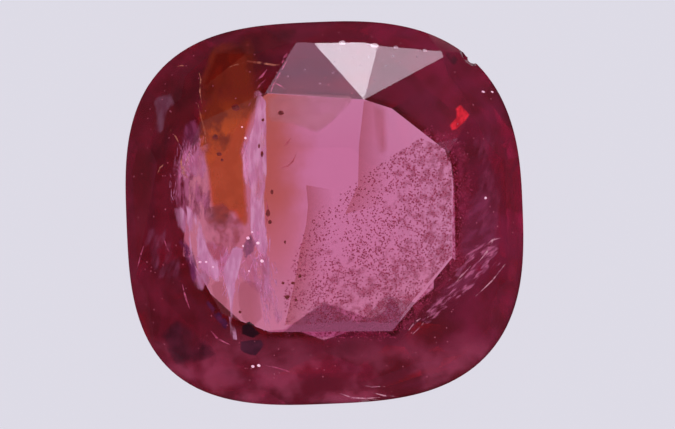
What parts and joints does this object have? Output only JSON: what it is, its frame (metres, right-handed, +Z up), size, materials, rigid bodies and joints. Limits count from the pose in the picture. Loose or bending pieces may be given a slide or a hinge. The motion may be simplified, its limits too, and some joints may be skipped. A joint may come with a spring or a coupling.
{
  "type": "cushion-cut spinel gemstone",
  "caption": "Loose cushion-cut natural spinel, table up, with a broad flat bottom facet that it rests on and a small chip in its girdle.",
  "frame": {"origin": "under the middle of the girdle outline, on the plane of the flat bottom facet that the stone rests on", "axes": "+Z up through the table facet, +X to the right and +Y to the back as the picture shows the stone from above"},
  "size_m": [0.0072, 0.007, 0.0036],
  "materials": {
    "spinel": "polished, transparent pinkish red with natural inclusions"
  },
  "bodies": {
    "root": {"spinel": "spinel"}
  },
  "joints": []
}
